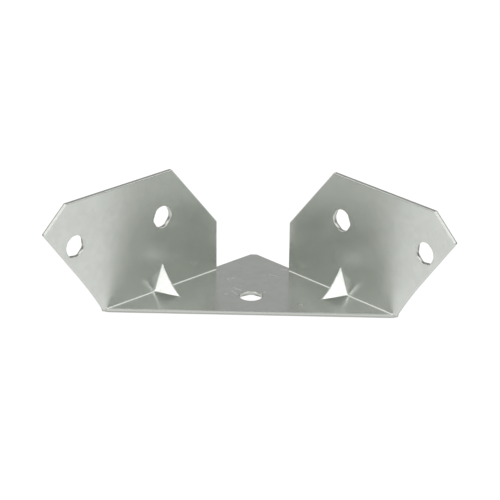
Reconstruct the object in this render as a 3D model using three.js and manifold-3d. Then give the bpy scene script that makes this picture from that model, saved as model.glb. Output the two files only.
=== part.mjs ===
// Roof bracket: a triangular plate with two upright flanges, punched as one flat blank of
// galvanized steel sheet and folded up along two lines. A dart is pressed across the middle of
// each fold to stiffen it. Millimetres, +Z up, the long front edge of the plate faces -Y.
// The origin is on the underside of the plate, in the middle of the overall width and depth.

import * as THREE from 'three';
import { mergeVertices } from 'three/addons/utils/BufferGeometryUtils.js';
import Module from 'manifold-3d';

// Sheet
const sheet = 2.5;                    // thickness
const foldRadius = 0.5;               // of each fold, on the inside
const outerFoldRadius = 0.5;          // and on the outside, which the die presses sharp

// Plate
const frontWidth = 180;               // along the front edge, from one fold line to the other
const foldAngle = Math.PI / 4;        // between the front edge and each fold
const foldLength = 94.5;              // along one fold, from the front edge to the flange's back
const edgeStepOut = 3.6;              // free side edge, measured out from the fold line
const reliefSlot = 0.4;               // slit between the fold's back end and the free side edge
const tipWidth = 4.4;                 // flat across the back tip
const plateBoltSetback = 24.6;        // front edge to the centre of the plate's hole

// Flanges, measured along the fold and up from the plate's top face
const flangeHeight = 79.2;
const noseReach = 49.7;               // how far the nose stands out past the fold's front end
const noseCutRun = 17.9;              // slanted cut over the nose
const noseCutDrop = 16.1;
const flareReach = 2.2;               // extra reach of the front edge where it meets the fold
const flareHeight = 28;               // the front edge is straight above this height
const backCutRun = 39;                // slanted cut over the back end
const backCutDrop = 45.7;

// Bolt holes
const boltHole = 14.3;                // clearance for a 1/2 in or M12 bolt
const boltHeight = 49.3;              // up from the plate's top face
const noseBoltInset = 24.95;          // from the nose; the other bolt is straight above the dart

// Darts
const dartLeg = 17.2;                 // reach up the flange and in over the plate
const dartWidth = 15.4;               // along the fold
const dartEntryAngle = Math.PI / 6;   // between the ridge and each leaf where it runs out
const dartSink = 0.5;                 // how far the shapes that form it run past the sheet's skins

// Facets
const holeFacets = 48;
const foldFacets = 8;
const flareFacets = 8;
const ridgeFacets = 8;

const dartPlace = foldLength / 2;

const wasm = await Module();
wasm.setup();

// A fold runs from its front end along +X of this frame. Its +Y points away from the plate's
// middle and its +Z is up, with zero at the plate's top face.
const foldFrame = new THREE.Matrix4()
  .makeRotationZ(foldAngle)
  .setPosition(-frontWidth / 2, 0, 0);

function toSolid(geometry) {
  const bare = geometry.clone();
  bare.deleteAttribute('normal');
  bare.deleteAttribute('uv');
  const merged = mergeVertices(bare);
  return new wasm.Manifold(new wasm.Mesh({
    numProp: 3,
    vertProperties: Float32Array.from(merged.attributes.position.array),
    triVerts: Uint32Array.from(merged.index.array),
  }));
}

function toGeometry(solid) {
  const mesh = solid.getMesh();
  const geometry = new THREE.BufferGeometry();
  geometry.setAttribute('position', new THREE.BufferAttribute(mesh.vertProperties, 3));
  geometry.setIndex(new THREE.BufferAttribute(mesh.triVerts, 1));
  return geometry;
}

// Corners, three to a triangle, seen in the other half of the bracket with their faces outward.
function mirrored(corners) {
  const copy = corners.map((point) => new THREE.Vector3(-point.x, point.y, point.z));
  return copy.reverse();
}

function roundHole(x, y) {
  return Array.from({ length: holeFacets }, (unused, i) => {
    const angle = -2 * Math.PI * i / holeFacets;
    return new THREE.Vector2(
      x + boltHole / 2 * Math.cos(angle), y + boltHole / 2 * Math.sin(angle));
  });
}

// One stretch of the sheet as triangle corners. The outline runs anticlockwise and the holes
// clockwise, in flat coordinates that place() turns into a point at a depth under the inner skin.
// Each edge gets a cut wall, except the numbered edges where the sheet carries on.
function sheetStretch(outline, holes, place, joinedEdges) {
  const points = [outline, ...holes].flat();
  const corners = [];
  for (const [a, b, c] of THREE.ShapeUtils.triangulateShape(outline, holes)) {
    corners.push(...[a, b, c].map((index) => place(points[index], 0)));
    corners.push(...[c, b, a].map((index) => place(points[index], sheet)));
  }
  for (const loop of [outline, ...holes]) {
    loop.forEach((start, index) => {
      if (loop === outline && joinedEdges.includes(index)) return;
      const end = loop[(index + 1) % loop.length];
      const [top, next] = [place(start, 0), place(end, 0)];
      const [under, nextUnder] = [place(start, sheet), place(end, sheet)];
      corners.push(next, top, under, next, under, nextUnder);
    });
  }
  return corners;
}

// The plate stops where the folds begin to curve. Behind each fold, past a narrow slit that lets
// the flange bend up, its free edge stands just outside the flange and runs on to the back tip.
function plateCorners() {
  const inPlan = (along, outward) => {
    const point = new THREE.Vector3(along, outward, 0).applyMatrix4(foldFrame);
    return new THREE.Vector2(point.x, point.y);
  };
  const edgeStart = inPlan(foldLength + reliefSlot, edgeStepOut);
  const tipX = -tipWidth / 2;
  const tipY = edgeStart.y + (tipX - edgeStart.x) * Math.tan(foldAngle);
  const left = [
    inPlan(foldRadius, -foldRadius),
    inPlan(foldLength, -foldRadius),
    inPlan(foldLength + reliefSlot, -foldRadius),
    edgeStart,
    new THREE.Vector2(tipX, tipY),
  ];
  const right = left.map((point) => new THREE.Vector2(-point.x, point.y));
  const outline = [...right, ...left.reverse()];
  const place = (point, depth) => new THREE.Vector3(point.x, point.y, -depth);
  return sheetStretch(outline, [roundHole(0, plateBoltSetback)], place, [0, 8]);
}

// How far the flange's front edge has moved along the fold at a height. It leans out to the nose,
// and lower down it curves forward, because the blank's edge runs straight on over the fold.
function noseEdge(height) {
  const lean = noseReach * height / (flangeHeight - noseCutDrop);
  const flare = flareReach * Math.max(0, 1 - height / flareHeight) ** 2;
  return -lean - flare;
}

function flangeCorners() {
  const flaredEdge = Array.from({ length: flareFacets + 1 }, (unused, i) => {
    const height = THREE.MathUtils.lerp(flareHeight, foldRadius, i / flareFacets);
    return new THREE.Vector2(noseEdge(height), height);
  });
  const outline = [
    new THREE.Vector2(foldLength, foldRadius),
    new THREE.Vector2(foldLength, flangeHeight - backCutDrop),
    new THREE.Vector2(foldLength - backCutRun, flangeHeight),
    new THREE.Vector2(noseCutRun - noseReach, flangeHeight),
    new THREE.Vector2(-noseReach, flangeHeight - noseCutDrop),
    ...flaredEdge,
  ];
  const holes = [
    roundHole(dartPlace, boltHeight),
    roundHole(noseBoltInset - noseReach, boltHeight),
  ];
  const place = (point, depth) => new THREE.Vector3(point.x, depth, point.y);
  return sheetStretch(outline, holes, place, [outline.length - 1]);
}

// The curved strip between plate and flange. Its flat coordinates are the place along the fold
// and the share of the quarter turn, so the front edge crosses it on a slant as the blank's did.
// The outer skin runs straight over the first and last facets and turns in the ones between.
function foldCorners() {
  const { clamp } = THREE.MathUtils;
  const place = (point, depth) => {
    const radius = depth === 0 ? foldRadius : outerFoldRadius;
    const straight = depth + foldRadius - radius;
    const straightShare = depth === 0 ? 0 : 1 / foldFacets;
    const bent = clamp((point.y - straightShare) / (1 - 2 * straightShare), 0, 1);
    const before = straight * clamp(point.y * foldFacets, 0, 1);
    const after = straight * clamp((point.y - 1) * foldFacets + 1, 0, 1);
    return new THREE.Vector3(
      point.x,
      before + radius * Math.sin(bent * Math.PI / 2) - foldRadius,
      after + radius * (1 - Math.cos(bent * Math.PI / 2)) - depth);
  };
  const front = (turn) => new THREE.Vector2(
    THREE.MathUtils.lerp(foldRadius, noseEdge(foldRadius), turn), turn);
  const back = (turn) => new THREE.Vector2(foldLength, turn);
  const corners = [];
  for (let facet = 0; facet < foldFacets; facet += 1) {
    const turn = facet / foldFacets;
    const next = (facet + 1) / foldFacets;
    const outline = [front(turn), back(turn), back(next), front(next)];
    corners.push(...sheetStretch(outline, [], place, [0, 2]));
  }
  return corners;
}

// A dart is two leaves that rise from points on the fold line to a ridge square to the fold. The
// ridge is an arc that sags towards the fold. This shape has its corner moved outward and down
// by cornerOut, and is closed by a point that lies further out again by root.
function dartShape(leg, width, cornerOut, root) {
  const sagAngle = Math.PI / 4 - dartEntryAngle;
  const halfChord = leg / Math.SQRT2;
  const ridgeRadius = halfChord / Math.sin(sagAngle);
  const ridge = Array.from({ length: ridgeFacets + 1 }, (unused, i) => {
    const angle = sagAngle * (1 - 2 * i / ridgeFacets);
    const across = ridgeRadius * Math.sin(angle);
    const up = halfChord + ridgeRadius * (Math.cos(sagAngle) - Math.cos(angle));
    return new THREE.Vector3(0, (across - up) / Math.SQRT2, (across + up) / Math.SQRT2);
  });
  const frontPoint = new THREE.Vector3(-width / 2, 0, 0);
  const backPoint = new THREE.Vector3(width / 2, 0, 0);
  const closing = new THREE.Vector3(0, root, -root);
  const [summit, toe] = [ridge[0], ridge[ridgeFacets]];
  const corners = [
    frontPoint, summit, closing, backPoint, closing, summit,
    frontPoint, closing, toe, backPoint, toe, closing,
  ];
  for (let i = 0; i < ridgeFacets; i += 1) {
    corners.push(frontPoint, ridge[i + 1], ridge[i], backPoint, ridge[i], ridge[i + 1]);
  }
  const toPlace = new THREE.Matrix4().makeTranslation(dartPlace, cornerOut, -cornerOut);
  return corners.map((point) => point.clone().applyMatrix4(toPlace));
}

// The ridge added on the inside runs on into the sheet, so that its leaves cross the skins. The
// hollow behind it keeps the sheet's thickness under each leaf and runs on out of the back.
function dartRidge() {
  const growth = 1 + 2 * dartSink / dartLeg;
  return dartShape(dartLeg * growth, dartWidth * growth, dartSink, dartSink);
}

function dartHollow() {
  const slope = Math.hypot(dartLeg, dartWidth / Math.SQRT2);
  const leg = dartLeg + 2 * sheet - 2 * sheet * slope / dartWidth;
  const width = dartWidth - 2 * sheet * (slope - dartWidth) / dartLeg;
  const growth = 1 + 2 * dartSink / leg;
  return dartShape(leg * growth, width * growth, sheet + dartSink, sheet);
}

function solidOf(corners) {
  return toSolid(new THREE.BufferGeometry().setFromPoints(corners));
}

function bracketGeometry() {
  const bothSides = (corners) => {
    const left = corners.map((point) => point.clone().applyMatrix4(foldFrame));
    return [left, mirrored(left)];
  };
  const folded = [plateCorners(), ...bothSides(foldCorners()), ...bothSides(flangeCorners())];
  let bracket = solidOf(folded.flat());
  for (const ridge of bothSides(dartRidge())) {
    bracket = bracket.add(solidOf(ridge));
  }
  for (const hollow of bothSides(dartHollow())) {
    bracket = bracket.subtract(solidOf(hollow));
  }
  return toGeometry(bracket);
}

const galvanizedSteel = new THREE.MeshStandardMaterial({
  color: 0xa9ada6, roughness: 0.3, metalness: 1,
});

const bracket = new THREE.Mesh(bracketGeometry(), galvanizedSteel);
bracket.name = 'folded_bracket';
bracket.geometry.computeBoundingBox();
const { min, max } = bracket.geometry.boundingBox;
bracket.position.set(0, -(min.y + max.y) / 2, sheet);

const group = new THREE.Group();
group.add(bracket);

export default group;
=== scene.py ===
# Roof bracket: one blank of zinc-coated steel sheet, punched, pressed and folded.
# Metres, +Z up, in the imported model's own frame. The long front edge of the plate faces -Y.

import math
import bpy
import numpy as np
from mathutils import Matrix, Vector
from mathutils.geometry import delaunay_2d_cdt


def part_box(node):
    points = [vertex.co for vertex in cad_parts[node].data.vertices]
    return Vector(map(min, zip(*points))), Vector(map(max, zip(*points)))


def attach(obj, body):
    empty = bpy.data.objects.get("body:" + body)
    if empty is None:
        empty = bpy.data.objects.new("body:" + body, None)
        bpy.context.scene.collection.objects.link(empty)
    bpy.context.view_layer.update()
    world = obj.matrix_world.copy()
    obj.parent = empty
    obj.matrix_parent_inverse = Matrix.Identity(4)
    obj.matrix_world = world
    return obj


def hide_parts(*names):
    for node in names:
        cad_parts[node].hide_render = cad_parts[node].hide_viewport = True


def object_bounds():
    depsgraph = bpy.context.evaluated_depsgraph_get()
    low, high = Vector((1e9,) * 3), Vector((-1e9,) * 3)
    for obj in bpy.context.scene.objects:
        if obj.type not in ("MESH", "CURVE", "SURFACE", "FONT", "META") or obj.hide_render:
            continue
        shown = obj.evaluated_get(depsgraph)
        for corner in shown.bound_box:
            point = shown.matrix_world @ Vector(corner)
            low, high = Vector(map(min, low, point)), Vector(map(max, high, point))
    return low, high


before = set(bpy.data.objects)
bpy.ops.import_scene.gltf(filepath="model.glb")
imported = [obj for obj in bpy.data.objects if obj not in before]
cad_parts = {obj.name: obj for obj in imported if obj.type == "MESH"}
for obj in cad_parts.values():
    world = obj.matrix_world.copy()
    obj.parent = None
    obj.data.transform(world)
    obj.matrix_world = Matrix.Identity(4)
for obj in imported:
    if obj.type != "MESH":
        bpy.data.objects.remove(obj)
cad_box = [list(corner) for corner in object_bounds()]


# ---- The blank ------------------------------------------------------------------------------
# A flat sheet of zinc-coated steel, 2.5 mm thick, cut to its outline and its five bolt holes in
# one stroke of a press. It is drawn flat here, with both flanges lying out beside the plate.

MM = 0.001
SHEET = 2.5 * MM
FOLD_RADIUS = 0.5 * MM
FRONT_WIDTH = 180 * MM
FOLD_ANGLE = math.radians(45)
FOLD_LENGTH = 94.5 * MM
SLIT = 0.4 * MM
EDGE_STEP_OUT = 3.6 * MM
TIP_WIDTH = 4.4 * MM
PLATE_BOLT = (0.0, 24.6 * MM)
FLANGE_HEIGHT = 79.2 * MM
NOSE_REACH = 49.7 * MM
NOSE_HEIGHT = 63.1 * MM
NOSE_CUT_RUN = 17.9 * MM
BACK_EDGE_HEIGHT = 33.5 * MM
BACK_CUT_RUN = 39.0 * MM
BOLT_RADIUS = 7.15 * MM
BOLT_HEIGHT = 49.3 * MM
NOSE_BOLT_INSET = 24.95 * MM
DART_PLACE = FOLD_LENGTH / 2

TIP_ROUNDING = 1.2 * MM
EDGE_ROUNDING = 0.9 * MM
SLIT_ROUNDING = 0.19 * MM
BACK_ROUNDING = 1.0 * MM
NOSE_ROUNDING = 0.85 * MM
FRONT_ROUNDING = 2.0 * MM

# How finely outlines are cut up: points on each round corner and each hole, the step along
# straight runs, rows across a fold, and the closest that two points of a run may lie.
CORNER_POINTS = 9
HOLE_POINTS = 72
OUTLINE_STEP = 2.5 * MM
FOLD_ROWS = 17
CLOSEST_POINTS = 0.04 * MM

ALONG = np.array([math.cos(FOLD_ANGLE), math.sin(FOLD_ANGLE)])
OUTWARD = np.array([-math.sin(FOLD_ANGLE), math.cos(FOLD_ANGLE)])


def to_plan(fold_points):
    """Left half: (distance along the fold, distance outward from it) to plan x and y."""
    fold_points = np.atleast_2d(fold_points)
    plan = fold_points[:, :1] * ALONG + fold_points[:, 1:] * OUTWARD
    return plan + [-FRONT_WIDTH / 2, 0]


def to_fold(plan):
    """Either half: plan x and y to (distance along the nearer fold, distance outward from it)."""
    left = np.column_stack([FRONT_WIDTH / 2 - np.abs(plan[:, 0]), plan[:, 1]])
    return np.column_stack([left @ ALONG, left @ OUTWARD])


def rounded_path(corners, radii):
    """Straight runs between corners, each corner replaced by an arc tangent to both runs: its
    centre is one radius square off the runs, and it starts radius times the tangent of half the
    turn before the corner. The runs are cut evenly, and on finer rows where they cross the
    fold."""
    fold_rows = np.linspace(-FOLD_RADIUS, FOLD_RADIUS, FOLD_ROWS)
    arcs = []
    for before, corner, after, radius in zip(corners, corners[1:], corners[2:], radii):
        enter = (corner - before) / np.linalg.norm(corner - before)
        leave = (after - corner) / np.linalg.norm(after - corner)
        turn = math.atan2(enter[0] * leave[1] - enter[1] * leave[0], enter @ leave)
        run = radius * math.tan(abs(turn) / 2)
        side = math.copysign(1, turn) * np.array([-enter[1], enter[0]])
        centre = corner - enter * run + side * radius
        angles = np.linspace(0, turn, CORNER_POINTS)[:, None]
        spoke = -side * radius
        arcs.append(centre + np.cos(angles) * spoke
                    + np.sin(angles) * np.array([-spoke[1], spoke[0]]))
    points = [np.array([corners[0]])]
    for start, arc in zip([points[0]] + arcs, arcs + [np.array([corners[-1]])]):
        a, b = start[-1], arc[0]
        length = np.linalg.norm(b - a)
        share = np.linspace(0, 1, max(2, int(length / OUTLINE_STEP) + 1))
        if abs(b[1] - a[1]) > 1e-9:
            crossings = (fold_rows - a[1]) / (b[1] - a[1])
            share = np.concatenate([share, crossings[(crossings > 0.002) & (crossings < 0.998)]])
        share = np.sort(share)
        share = share[np.concatenate([[True], np.diff(share) * length > CLOSEST_POINTS])]
        share = share[(share > 1e-6) & (share < 1 - 1e-6)][:, None]
        points += [a + share * (b - a), arc]
    return np.concatenate(points)


def blank_outline():
    """The whole outline in plan, anticlockwise: the left half from the back tip to the middle of
    the front edge, and its mirror image back to the tip."""
    slit_side = FOLD_LENGTH + SLIT
    edge_start = to_plan([[slit_side, EDGE_STEP_OUT]])[0]
    tip_y = edge_start[1] + (-TIP_WIDTH / 2 - edge_start[0]) * math.tan(FOLD_ANGLE)
    corners = np.concatenate([
        to_fold(np.array([[0, tip_y], [-TIP_WIDTH / 2, tip_y]])),
        [[slit_side, EDGE_STEP_OUT],
         [slit_side, -FOLD_RADIUS],
         [FOLD_LENGTH, -FOLD_RADIUS],
         [FOLD_LENGTH, BACK_EDGE_HEIGHT],
         [FOLD_LENGTH - BACK_CUT_RUN, FLANGE_HEIGHT],
         [NOSE_CUT_RUN - NOSE_REACH, FLANGE_HEIGHT],
         [-NOSE_REACH, NOSE_HEIGHT],
         [0, 0]],
        to_fold(np.array([[0, 0.0]])),
    ])
    roundings = [TIP_ROUNDING, EDGE_ROUNDING, SLIT_ROUNDING, SLIT_ROUNDING, BACK_ROUNDING,
                 BACK_ROUNDING, NOSE_ROUNDING, NOSE_ROUNDING, FRONT_ROUNDING]
    left = to_plan(rounded_path(corners, roundings))
    right = left[-2:0:-1] * [-1, 1]
    return np.concatenate([left, right])


def bolt_hole(centre):
    """A circle in plan, clockwise so that the metal is on its left."""
    angle = -np.arange(HOLE_POINTS) * 2 * math.pi / HOLE_POINTS
    return centre + BOLT_RADIUS * np.column_stack([np.cos(angle), np.sin(angle)])


left_bolts = to_plan([[DART_PLACE, BOLT_HEIGHT], [NOSE_BOLT_INSET - NOSE_REACH, BOLT_HEIGHT]])
bolt_centres = np.concatenate([[PLATE_BOLT], left_bolts, left_bolts * [-1, 1]])
loops = [blank_outline()] + [bolt_hole(centre) for centre in bolt_centres]


# ---- Folds and darts ------------------------------------------------------------------------
# Each flange is folded up square to the plate and pressed into a sharp die, and at the front end
# the fold drags the flange's edge forward. A wedge then pushes a dart through the middle of the
# fold: two flat leaves that meet in a ridge on the inside, and a matching hollow on the outside.

OUTER_FOLD_RADIUS = 0.5 * MM
INNER_RUN_SHARE = 0.01
ADDED_RUN_SHARE = 0.25
FLARE_REACH = 2.2 * MM
FLARE_HEIGHT = 28 * MM
FLARE_FADE = 15 * MM
DART_LEG = 17.2 * MM
DART_HALF_WIDTH = 7.7 * MM
DART_CREASE = 0.35 * MM
DART_END_CREASE = 1.4 * MM
RIDGE_SOFTNESS = 0.8 * MM
RIDGE_SAG = 0.145
RIDGE_BOW = 1.2
RIDGE_SLOPE = math.sqrt((RIDGE_BOW + RIDGE_SAG) ** 2 - RIDGE_BOW ** 2)


def soft_max(a, b, blend):
    """The larger of a and b. Where they differ by less than blend, a parabola rounds the corner
    between them, and stands a quarter of blend above it in the middle."""
    near = np.clip(blend - np.abs(a - b), 0, None) / blend
    return np.maximum(a, b) + near * near * blend / 4


def dart_rise(across, along, leg, half_width, softness):
    """Height of a dart over the fold's corner, measured on the diagonal between plate and
    flange. The section under the ridge is a hyperbola that leaves both skins at a low angle, and
    every other section is the same one, shrunk evenly to nothing at half_width from the ridge.
    Closer to the ridge than softness, the distance from it grows with its square instead."""
    near = np.abs(along) < softness
    distance = np.where(near, along ** 2 / (2 * softness), np.abs(along) - softness / 2)
    share = 1 - distance / (half_width - softness / 2)
    chord = leg / math.sqrt(2)
    bow = RIDGE_BOW * chord * np.clip(share, 0, None)
    rise = np.sqrt(bow ** 2 + (RIDGE_SLOPE * across) ** 2) - bow
    return rise + (1 - RIDGE_SAG) * chord * share


def fold_up(plan, depth):
    """Takes points of the flat blank, at a depth under its inner skin, to their folded places.
    Outside the fold line a point goes up the flange and inside it stays in the plate. Between
    the two the inner skin turns on its small radius, and the outer one runs straight, turns on
    its own and runs straight again. The front of the fold is dragged forward, by a reach that
    falls with the square of the height and evenly with the distance along the fold. Near a dart
    both skins are then lifted along the diagonal wherever the dart's surface is the higher."""
    along, outward = to_fold(plan).T
    share = depth / SHEET
    folds = along < FOLD_LENGTH + SLIT / 2
    turn = np.where(folds, np.clip((outward / FOLD_RADIUS + 1) / 2, 0, 1), 0)
    radius = FOLD_RADIUS + share * (OUTER_FOLD_RADIUS - FOLD_RADIUS)
    straight = depth + FOLD_RADIUS - radius
    ends = INNER_RUN_SHARE + ADDED_RUN_SHARE * share
    angle = np.clip((turn - ends) / (1 - 2 * ends), 0, 1) * math.pi / 2
    before = straight * np.clip(turn / ends, 0, 1)
    after = straight * np.clip((turn - 1) / ends + 1, 0, 1)
    in_plate = np.where(folds, np.minimum(outward, -FOLD_RADIUS), outward)
    in_flange = np.where(folds, np.maximum(outward - FOLD_RADIUS, 0), 0)
    side = in_plate + before + radius * np.sin(angle)
    up = in_flange + after + radius * (1 - np.cos(angle)) - depth
    low_share = np.clip(1 - outward / FLARE_HEIGHT, 0, 1) ** 2
    along = along - FLARE_REACH * turn * low_share * np.clip(1 - along / FLARE_FADE, 0, 1)

    slope = math.hypot(DART_LEG, DART_HALF_WIDTH * math.sqrt(2))
    leg = DART_LEG + share * SHEET * (2 - slope / DART_HALF_WIDTH)
    half_width = DART_HALF_WIDTH - share * SHEET * (slope - 2 * DART_HALF_WIDTH) / DART_LEG
    corner = math.sqrt(2) * depth
    diagonal = (up - side) / math.sqrt(2) + corner
    across = (up + side) / math.sqrt(2)
    dart = dart_rise(across, along - DART_PLACE, leg, half_width, RIDGE_SOFTNESS)
    towards_end = np.clip(np.abs(along - DART_PLACE) / half_width, 0, 1) ** 3
    crease = DART_CREASE + towards_end * (DART_END_CREASE - DART_CREASE)
    lift = np.where(folds, soft_max(diagonal, dart, crease) - diagonal, 0)
    side, up = side - lift / math.sqrt(2), up + lift / math.sqrt(2)

    folded = to_plan(np.column_stack([along, side]))
    folded[:, 0] *= np.where(plan[:, 0] > 0, -1, 1)
    return np.column_stack([folded, up])


# ---- Sheet metal surface --------------------------------------------------------------------
# The cut edge is the one a punch leaves: drawn over smoothly at the inner skin, straight for
# most of the thickness, and a little undercut, with its last corner broken, at the outer skin.

ROLL_REACH = 0.7 * MM
ROLL_DEPTH = 0.6 * MM
BROKEN_CORNER = 0.12 * MM
UNDERCUT = 0.04 * MM
STRAIGHT_FROM = 0.45 * SHEET
STRAIGHT_TO = 0.6 * SHEET
INNER_FLAT_FROM = 0.75 * MM
OUTER_FLAT_FROM = 0.5 * MM

# Rows of the edge profile that keep their zinc, counted in from each skin.
INNER_ZINC_ROWS = 5
OUTER_ZINC_ROWS = 2

# How finely the skin is cut up: on the flats, in rows along a fold, on a dart and around it. The
# finest points run past the dart by DART_ROOM, and the next ones past those by AROUND_REACH.
FLAT_STEP = 4.5 * MM
FOLD_STEP = 1.5 * MM
BESIDE_FOLD = np.array([-3.2, -1.6, 1.6, 3.2]) * MM
DART_STEP = 0.22 * MM
DART_ROOM = 1.2 * MM
AROUND_STEP = 1.3 * MM
AROUND_REACH = 3 * MM
OUTLINE_ROOM = 1.25 * MM
BLANK_LOW = (-180 * MM, -50 * MM)
BLANK_HIGH = (180 * MM, 140 * MM)


def edge_profile():
    """Rows of (distance in from the outline, depth), from the inner skin to the outer one: a
    quarter of an ellipse, a straight run, and a quarter of a small circle."""
    quarter = np.linspace(0, math.pi / 2, 7)[:, None]
    drawn_over = np.hstack([ROLL_REACH * (1 - np.sin(quarter)),
                            ROLL_DEPTH * (1 - np.cos(quarter))])
    small = quarter[::3]
    broken = np.hstack([UNDERCUT + BROKEN_CORNER * (1 - np.cos(small)),
                        SHEET - BROKEN_CORNER * (1 - np.sin(small))])
    straight = [[0, STRAIGHT_FROM], [UNDERCUT / 2, STRAIGHT_TO]]
    return np.concatenate([[[INNER_FLAT_FROM, 0]], drawn_over, straight, broken,
                           [[OUTER_FLAT_FROM, SHEET]]])


def into_metal(loop):
    """Unit vectors square to a loop, on its left, which is where the metal is. At each point
    they are square to the mean of the two directions that meet there."""
    run = np.roll(loop, -1, 0) - loop
    run /= np.linalg.norm(run, axis=1)[:, None]
    mean = run + np.roll(run, 1, 0)
    mean /= np.linalg.norm(mean, axis=1)[:, None]
    return np.column_stack([-mean[:, 1], mean[:, 0]])


def grid_points(low, high, step):
    """Points of a lattice of equal triangles over a rectangle: every second row is moved on by
    half a step."""
    rows = np.arange(low[1], high[1], step * math.sqrt(3) / 2)
    columns = np.arange(low[0], high[0], step)
    x, y = np.meshgrid(columns, rows)
    x[1::2] += step / 2
    return np.column_stack([x.ravel(), y.ravel()])


def clear_of(points, loop, margin):
    """True where a point is at least margin from every segment of a loop, measured to the
    nearest place on each."""
    a, b = loop, np.roll(loop, -1, 0)
    run = b - a
    offset = points[:, None] - a
    share = np.clip((offset * run).sum(2) / (run * run).sum(1), 0, 1)
    return np.linalg.norm(offset - share[:, :, None] * run, axis=2).min(1) > margin


def inside(points, loop):
    """True where a loop goes round a point, by counting the segments that cross its level."""
    a, b = loop, np.roll(loop, -1, 0)
    x, y = points[:, :1], points[:, 1:]
    crosses = (a[:, 1] > y) != (b[:, 1] > y)
    height = np.where(b[:, 1] == a[:, 1], 1, b[:, 1] - a[:, 1])
    at = a[:, 0] + (y - a[:, 1]) * (b[:, 0] - a[:, 0]) / height
    return (crosses & (x < at)).sum(1) % 2 == 1


def skin_points():
    """Points over the blank: a wide lattice on the flats, rows along each fold, and a fine
    lattice with a row on the ridge under each dart."""
    dart_reach = np.array([DART_HALF_WIDTH + DART_ROOM, DART_LEG + DART_ROOM])

    def in_dart(fold_points, grow):
        """True in the diamond that a dart takes up on the blank, made larger by grow."""
        span = np.abs(fold_points - [DART_PLACE, 0]) / (dart_reach + grow)
        return span.sum(1) < 1

    flats = grid_points(BLANK_LOW, BLANK_HIGH, FLAT_STEP)
    along, outward = to_fold(flats).T
    beside_fold = (np.abs(outward) < FLAT_STEP) & (along < FOLD_LENGTH + 2 * MM)
    flats = flats[~beside_fold & ~in_dart(to_fold(flats), AROUND_REACH)]

    row_heights = np.concatenate([np.linspace(-1, 1, FOLD_ROWS) * FOLD_RADIUS, BESIDE_FOLD])
    row_places = np.arange(-4, FOLD_LENGTH / MM, FOLD_STEP / MM) * MM
    rows = np.stack(np.meshgrid(row_places, row_heights), -1).reshape(-1, 2)
    rows = rows[~in_dart(rows, 0.4 * MM)]

    half = np.ceil(dart_reach / DART_STEP) * DART_STEP
    steps = [np.arange(-h, h + DART_STEP / 2, DART_STEP) for h in half]
    dart = np.stack(np.meshgrid(*steps), -1).reshape(-1, 2) + [DART_PLACE, 0]
    dart = dart[in_dart(dart, 0)]

    around = grid_points((-12 * MM, -24 * MM), (12 * MM, 24 * MM), AROUND_STEP)
    around = around + [DART_PLACE, 0]
    around = around[~in_dart(around, 0.6 * MM) & in_dart(around, AROUND_REACH)]
    around = around[np.abs(around[:, 1]) > 1.8 * MM]

    left = to_plan(np.concatenate([rows, dart, around]))
    points = np.concatenate([flats, left, left * [-1, 1]])
    points = points[inside(points, loops[0])]
    for loop in loops:
        points = points[clear_of(points, loop, OUTLINE_ROOM)]
    return points[np.linalg.norm(points[:, None] - bolt_centres, axis=2).min(1) > BOLT_RADIUS]


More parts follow.
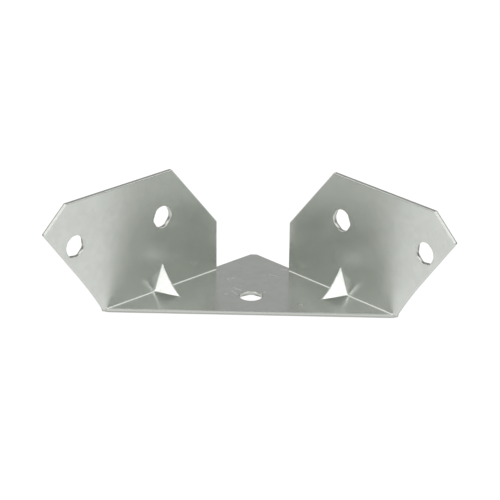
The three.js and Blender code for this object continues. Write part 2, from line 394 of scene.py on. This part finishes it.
def bracket_mesh():
    """The closed skin of the folded sheet. Rings of points go round each loop and over the cut
    edge, and the innermost rings on the inner skin bound a triangulation of it, which the outer
    skin repeats."""
    profile = edge_profile()
    rows = len(profile)
    row = np.arange(rows)
    bare_steel = (row >= INNER_ZINC_ROWS) & (row < rows - OUTER_ZINC_ROWS)
    inner = skin_points()
    plans, depths, edges, quads, base = [], [], [], [], 0
    rim_in, rim_out = [], []
    for loop in loops:
        count = len(loop)
        rings = loop + profile[:, :1, None] * into_metal(loop)
        plans.append(rings.reshape(-1, 2))
        depths.append(np.repeat(profile[:, 1], count))
        edges.append(np.repeat(bare_steel, count))
        i = np.arange(count)
        ring = base + np.arange(rows - 1)[:, None] * count
        a, b = ring + i, ring + (i + 1) % count
        quads.append(np.stack([b, a, a + count, b + count], -1).reshape(-1, 4))
        rim_in.append(base + i)
        rim_out.append(base + (rows - 1) * count + i)
        base += count * rows
    first_inner = base
    plans += [inner, inner]
    depths += [np.zeros(len(inner)), np.full(len(inner), SHEET)]
    edges.append(np.zeros(2 * len(inner), bool))
    plan, depth = np.concatenate(plans), np.concatenate(depths)

    flat_ids = np.concatenate(rim_in + [first_inner + np.arange(len(inner))])
    back_ids = np.concatenate(rim_out + [first_inner + len(inner) + np.arange(len(inner))])
    bounds, start = [], 0
    for ring in rim_in:
        i = np.arange(len(ring))
        bounds.append(np.stack([start + i, start + (i + 1) % len(ring)], -1))
        start += len(ring)
    flat = plan[flat_ids]
    found = delaunay_2d_cdt([Vector(p) for p in (flat / MM).tolist()],
                            np.concatenate(bounds).tolist(), [], 1, 1e-5)
    if len(found[0]) != len(flat):
        raise ValueError("two points of the blank coincide")
    triangles = np.array(found[2])
    middles = flat[triangles].mean(1)
    keep = np.linalg.norm(middles[:, None] - bolt_centres, axis=2).min(1) > BOLT_RADIUS
    triangles = triangles[keep]
    ab = flat[triangles[:, 1]] - flat[triangles[:, 0]]
    ac = flat[triangles[:, 2]] - flat[triangles[:, 0]]
    turned = ab[:, 0] * ac[:, 1] - ab[:, 1] * ac[:, 0] < 0
    triangles[turned] = triangles[turned][:, ::-1]

    quads = np.concatenate(quads)
    corners = np.concatenate([quads.ravel(), flat_ids[triangles].ravel(),
                              back_ids[triangles[:, ::-1]].ravel()])
    sizes = np.concatenate([np.full(len(quads), 4), np.full(2 * len(triangles), 3)])
    mesh = bpy.data.meshes.new("folded_sheet")
    mesh.vertices.add(len(plan))
    mesh.loops.add(len(corners))
    mesh.polygons.add(len(sizes))
    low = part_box("folded_bracket")[0]
    front_edge = low[1] + NOSE_REACH * math.sin(FOLD_ANGLE)
    places = fold_up(plan, depth) + [0, front_edge, low[2] + SHEET]
    mesh.vertices.foreach_set("co", places.ravel())
    mesh.loops.foreach_set("vertex_index", corners.astype(np.int32))
    mesh.polygons.foreach_set("loop_start", (np.cumsum(sizes) - sizes).astype(np.int32))
    mesh.polygons.foreach_set("use_smooth", np.ones(len(sizes), bool))
    mesh.update(calc_edges=True)
    mesh.validate()

    cut = mesh.attributes.new("cut_edge", "FLOAT", "POINT")
    cut.data.foreach_set("value", np.concatenate(edges).astype(np.float32))
    along, outward = to_fold(plan).T
    in_fold = np.abs(outward) < 1.05 * FOLD_RADIUS
    # Painted highlight: the inner skin along each fold is marked to be painted lighter, in place of
    # the light that its small bend radius catches.
    fold_highlight_mask = in_fold & (depth == 0) & (along < FOLD_LENGTH)
    fold_highlight_layer = mesh.attributes.new("painted_fold_highlight", "FLOAT", "POINT")
    fold_highlight_layer.data.foreach_set("value", fold_highlight_mask.astype(np.float32))
    under = mesh.attributes.new("depth", "FLOAT", "POINT")
    under.data.foreach_set("value", (depth / SHEET).astype(np.float32))
    blank_map = mesh.uv_layers.new(name="blank")
    blank_map.data.foreach_set("uv", (plan[corners] / MM / 100).ravel())
    return mesh


bracket = bpy.data.objects.new("folded_sheet_bracket", bracket_mesh())
bpy.context.scene.collection.objects.link(bracket)
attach(bracket, "root")
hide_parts("folded_bracket")


# ---- Zinc coating ---------------------------------------------------------------------------
# Bright rolled zinc, faintly clouded and finely grained along the coil, with the light scratches
# of handling, and a painted highlight that makes the inside of each fold lighter. The punched
# edges show the sheared steel, darker and duller than the coating.

BRIGHT_ZINC = (0.595, 0.615, 0.582, 1)
CLOUDED_ZINC = (0.565, 0.585, 0.552, 1)
SCRATCHED_ZINC = (0.92, 0.93, 0.91, 1)
# Painted highlight: a lighter zinc for the inside of each fold.
FOLD_HIGHLIGHT_ZINC = (0.66, 0.675, 0.645, 1)
SHEARED_STEEL = (0.55, 0.565, 0.53, 1)
TORN_STEEL = (0.40, 0.41, 0.38, 1)

# Sizes of the patterns, as repeats in 100 mm of sheet.
CLOUD_REPEATS = 4.5
SPANGLE_REPEATS = 26.0
GRAIN_REPEATS = (3, 110)
BREAK_REPEATS = 90.0
SHEAR_MARK_REPEATS = 260.0
BORDER_REPEATS = 40.0

# Where the torn band starts, as a share of the sheet's thickness, and how far that wavers.
TORN_FROM = 0.5
TORN_WAVER = 0.12
BUMP_HEIGHT = 0.02 * MM

zinc = bpy.data.materials.new("zinc_coated_steel")
zinc.use_nodes = True
tree = zinc.node_tree
shader = tree.nodes["Principled BSDF"]
shader.inputs["Metallic"].default_value = 1


def wire(kind, inputs, **settings):
    """Adds a node, sets it up, and gives each numbered input a value or another node's output."""
    node = tree.nodes.new(kind)
    for name, value in settings.items():
        setattr(node, name, value)
    for place, value in inputs.items():
        if isinstance(value, bpy.types.NodeSocket):
            tree.links.new(value, node.inputs[place])
        else:
            node.inputs[place].default_value = value
    return node


def calculate(operation, *values):
    """One step of arithmetic on the values."""
    return wire("ShaderNodeMath", dict(enumerate(values)), operation=operation).outputs[0]


def fade(value, low, high, at_low=0.0, at_high=1.0):
    """at_low where the value is under low, at_high where it is over high, and smooth between."""
    inputs = {0: value, 1: low, 2: high, 3: at_low, 4: at_high}
    return wire("ShaderNodeMapRange", inputs, interpolation_type="SMOOTHSTEP").outputs[0]


def blend_colours(share, first, second):
    """The first colour at share 0, the second at share 1."""
    mixed = wire("ShaderNodeMix", {0: share, 6: first, 7: second}, data_type="RGBA")
    return mixed.outputs[2]


def placed(turn, stretch, shift=(0, 0)):
    """The sheet's own map, in units of 100 mm, moved, turned by degrees and then stretched."""
    turned = wire("ShaderNodeMapping", {0: sheet_map, 1: (*shift, 0)}, vector_type="TEXTURE")
    turned.inputs[2].default_value = (0, 0, math.radians(turn))
    return wire("ShaderNodeVectorMath", {0: turned.outputs[0], 1: (*stretch, 1)},
                operation="MULTIPLY").outputs[0]


def noise(vector, scale, detail=2.0, rough=0.5):
    """Even noise from 0 to 1."""
    inputs = {"Vector": vector, "Scale": scale, "Detail": detail, "Roughness": rough}
    return wire("ShaderNodeTexNoise", inputs).outputs[0]


sheet_map = wire("ShaderNodeUVMap", {}, uv_map="blank").outputs[0]
cut_edge = wire("ShaderNodeAttribute", {}, attribute_name="cut_edge").outputs["Fac"]
depth_in_cut = wire("ShaderNodeAttribute", {}, attribute_name="depth").outputs["Fac"]
painted_fold_highlight = wire("ShaderNodeAttribute", {}, attribute_name="painted_fold_highlight").outputs["Fac"]

clouds = noise(placed(0, (1, 1)), CLOUD_REPEATS, 3.0, 0.6)
spangle = wire("ShaderNodeTexVoronoi", {"Vector": placed(0, (1, 1)), "Scale": SPANGLE_REPEATS},
               feature="F1").outputs["Color"]
spangle = wire("ShaderNodeSeparateColor", {0: spangle}).outputs[0]
grain = noise(placed(0, GRAIN_REPEATS), 1.0, 3.0, 0.55)

# Handling scratches: thin light lines in four directions, broken into short lengths. Turn in
# degrees, repeats along and across the line, and the share of the noise that stays bare.
fine_scratches = None
for turn, long, thin, share in ((12, 2.2, 150, 0.705), (-38, 2.6, 170, 0.715),
                                (63, 2.0, 150, 0.72), (-81, 3.0, 190, 0.72)):
    line = fade(noise(placed(turn, (long, thin), (0.37, 0.21)), 1.0, 1.0), share, share + 0.03)
    here = fade(noise(placed(turn, (1, 1), (turn / 9, 2)), 3.0, 1.0), 0.5, 0.62)
    line = calculate("MULTIPLY", line, here)
    fine_scratches = line if fine_scratches is None else calculate("MAXIMUM", fine_scratches, line)

# Deeper scratches about the plate's hole, in the inner skin only. Middle x and y on the blank,
# turn in degrees, length and width, in millimetres.
deep_scratches = None
for x, y, turn, length, width in ((-8.8, 35.0, -40, 10.0, 1.3), (-11.4, 30.6, -52, 6.0, 1.1),
                                  (-9.6, 27.6, -74, 5.0, 1.0), (-12.3, 52.6, 35, 3.4, 1.4),
                                  (-15.2, 50.2, -62, 4.5, 1.0), (-15.9, 26.7, 20, 2.8, 1.3),
                                  (32.0, 11.8, 15, 3.0, 1.2), (20.4, 68.0, -16, 6.0, 1.3),
                                  (14.0, 58.0, -28, 9.0, 0.8), (8.6, 31.0, 64, 3.6, 0.9)):
    beside = wire("ShaderNodeSeparateXYZ", {0: placed(turn, (1, 1), (x / 100, y / 100))})
    along = calculate("ABSOLUTE", beside.outputs[0])
    across = calculate("ABSOLUTE", beside.outputs[1])
    line = calculate("MULTIPLY", fade(across, width / 400, width / 160, 1.0, 0.0),
                     fade(along, length / 400, length / 200, 1.0, 0.0))
    deep_scratches = line if deep_scratches is None else calculate("MAXIMUM", deep_scratches, line)
broken = fade(noise(placed(0, (1, 1)), BREAK_REPEATS, 1.0), 0.3, 0.5, 0.6, 1.0)
on_inner_skin = fade(depth_in_cut, 0.1, 0.2, 1.0, 0.0)
deep_scratches = calculate("MULTIPLY", deep_scratches, calculate("MULTIPLY", broken, on_inner_skin))

# The cut edge: fine upright marks, and a torn band with a wavering border towards the outer skin.
shear_marks = noise(placed(0, (1, 1)), SHEAR_MARK_REPEATS, 2.0)
waver = calculate("MULTIPLY", noise(placed(0, (1, 1)), BORDER_REPEATS), TORN_WAVER)
torn = fade(calculate("SUBTRACT", depth_in_cut, calculate("ADD", waver, TORN_FROM)), -0.02, 0.04)

# Colour: clouds and spangle, then the scratches, the painted highlight inside the folds and the
# bare cut edge.
tone = calculate("ADD", calculate("MULTIPLY", clouds, 0.7), calculate("MULTIPLY", spangle, 0.3))
skin = blend_colours(fade(tone, 0.25, 0.7), BRIGHT_ZINC, CLOUDED_ZINC)
scratched = calculate("MAXIMUM", calculate("MULTIPLY", fine_scratches, 0.14),
                      calculate("MULTIPLY", deep_scratches, 0.85))
skin = blend_colours(scratched, skin, SCRATCHED_ZINC)
# Painted highlight: the inside of each fold is painted lighter, in place of the light that its bend
# catches.
skin = blend_colours(painted_fold_highlight, skin, FOLD_HIGHLIGHT_ZINC)
steel = blend_colours(torn, SHEARED_STEEL, TORN_STEEL)
tree.links.new(blend_colours(cut_edge, skin, steel), shader.inputs["Base Color"])

# Roughness: a little more in the clouds, the grain and the deep scratches, and most where torn.
dullness = calculate("ADD", fade(clouds, 0.3, 0.7, 0.21, 0.24),
                     calculate("MULTIPLY", grain, 0.03))
dullness = calculate("ADD", dullness, calculate("MULTIPLY", deep_scratches, 0.14))
edge_dullness = calculate("ADD", fade(torn, 0.0, 1.0, 0.25, 0.4),
                          calculate("MULTIPLY", shear_marks, 0.06))
dullness = wire("ShaderNodeMix", {0: cut_edge, 2: dullness, 3: edge_dullness}).outputs[0]
tree.links.new(dullness, shader.inputs["Roughness"])

# Relief: grain and clouds stand up, scratches and the torn band lie lower.
height = calculate("ADD", calculate("MULTIPLY", grain, 0.10), calculate("MULTIPLY", clouds, 0.4))
height = calculate("SUBTRACT", height, calculate("MULTIPLY", fine_scratches, 0.06))
height = calculate("SUBTRACT", height, calculate("MULTIPLY", deep_scratches, 0.6))
edge_height = calculate("ADD", calculate("MULTIPLY", shear_marks, 0.15),
                        calculate("MULTIPLY", torn, -0.1))
height = wire("ShaderNodeMix", {0: cut_edge, 2: height, 3: edge_height}).outputs[0]
bump = wire("ShaderNodeBump", {"Strength": 1.0, "Distance": BUMP_HEIGHT, "Height": height})
tree.links.new(bump.outputs[0], shader.inputs["Normal"])
bracket.data.materials.append(zinc)


# ---- Studio ---------------------------------------------------------------------------------
# A plain white floor with a glow of its own, in a bright, even room. Large soft lights stand in
# front and at the sides, and weaker ones above and behind lift the plate and the flanges' backs.

FLOOR_REACH = 6.0
FLOOR_DROP = 0.0002
FLOOR_GLOW = 0.86
ROOM_LIGHT = 0.2

floor_mesh = bpy.data.meshes.new("floor")
floor_corners = [(-FLOOR_REACH, -FLOOR_REACH, 0), (FLOOR_REACH, -FLOOR_REACH, 0),
                 (FLOOR_REACH, FLOOR_REACH, 0), (-FLOOR_REACH, FLOOR_REACH, 0)]
floor_mesh.from_pydata(floor_corners, [], [(0, 1, 2, 3)])
floor = bpy.data.objects.new("floor", floor_mesh)
floor.location = (0, 0, cad_box[0][2] - FLOOR_DROP)
bpy.context.scene.collection.objects.link(floor)
floor_paint = bpy.data.materials.new("white_floor")
floor_paint.use_nodes = True
paint = floor_paint.node_tree.nodes["Principled BSDF"]
paint.inputs["Base Color"].default_value = (0.2, 0.2, 0.2, 1)
paint.inputs["Roughness"].default_value = 1
paint.inputs["Specular IOR Level"].default_value = 0
paint.inputs["Emission Color"].default_value = (1, 1, 1, 1)
paint.inputs["Emission Strength"].default_value = FLOOR_GLOW
floor_mesh.materials.append(floor_paint)

world = bpy.data.worlds.new("studio")
bpy.context.scene.world = world
world.use_nodes = True
room = world.node_tree.nodes["Background"]
room.inputs["Color"].default_value = (1, 1, 1, 1)
room.inputs["Strength"].default_value = ROOM_LIGHT


def direction(round_from_front, up):
    """The way from the bracket to something so many radians round from the front and up."""
    return Vector((math.sin(round_from_front) * math.cos(up),
                   -math.cos(round_from_front) * math.cos(up),
                   math.sin(up)))


# Name, degrees round from the front, degrees up, distance, width, height, brightness.
for name, round_from_front, up, away, width, height, brightness in (
        ("left_front_light", -34.5, 28, 1.6, 1.25, 1.15, 2.7),
        ("right_front_light", 34.5, 28, 1.6, 1.25, 1.15, 2.7),
        ("middle_light", 0, 28, 2.4, 1.2, 1.5, 0.7),
        ("left_side_light", -90, 45, 1.6, 2.1, 0.95, 2.3),
        ("right_side_light", 90, 46, 1.6, 2.1, 0.95, 2.3),
        ("top_light", 0, 66, 1.6, 1.8, 0.7, 0.8),
        ("overhead_light", 180, 80, 1.6, 0.9, 1.1, 0.9),
        ("back_light", 180, 23, 2.5, 3.0, 1.4, 0.53)):
    lamp = bpy.data.lights.new(name, "AREA")
    lamp.shape = "RECTANGLE"
    lamp.size = width
    lamp.size_y = height
    lamp.energy = 2 * brightness * width * height
    light = bpy.data.objects.new(name, lamp)
    light.location = away * direction(math.radians(round_from_front), math.radians(up))
    light.rotation_euler = (-light.location).to_track_quat("-Z", "Y").to_euler()
    bpy.context.scene.collection.objects.link(light)


# ---- Camera ---------------------------------------------------------------------------------
# A long lens a little above the bracket and almost straight in front of it. Lens and sensor are
# in millimetres, and the camera looks at a point just above the middle of the plate.

LENS = 216
SENSOR = 36
ROUND_FROM_FRONT = math.radians(1.35)
ABOVE_LEVEL = math.radians(22.83)
ROLL = math.radians(0.62)
DISTANCE = 1.8985
AIM = Vector((-0.00098, 0, 0.0323))

camera_data = bpy.data.cameras.new("camera")
camera = bpy.data.objects.new("camera", camera_data)
bpy.context.scene.collection.objects.link(camera)
bpy.context.scene.camera = camera
camera_data.lens = LENS
camera_data.sensor_width = SENSOR
back = direction(ROUND_FROM_FRONT, ABOVE_LEVEL)
facing = (-back).to_track_quat("-Z", "Y").to_matrix() @ Matrix.Rotation(ROLL, 3, "Z")
camera.matrix_world = Matrix.Translation(AIM + back * DISTANCE) @ facing.to_4x4()
camera_data.clip_end = 20

bpy.context.scene.view_settings.view_transform = "Standard"
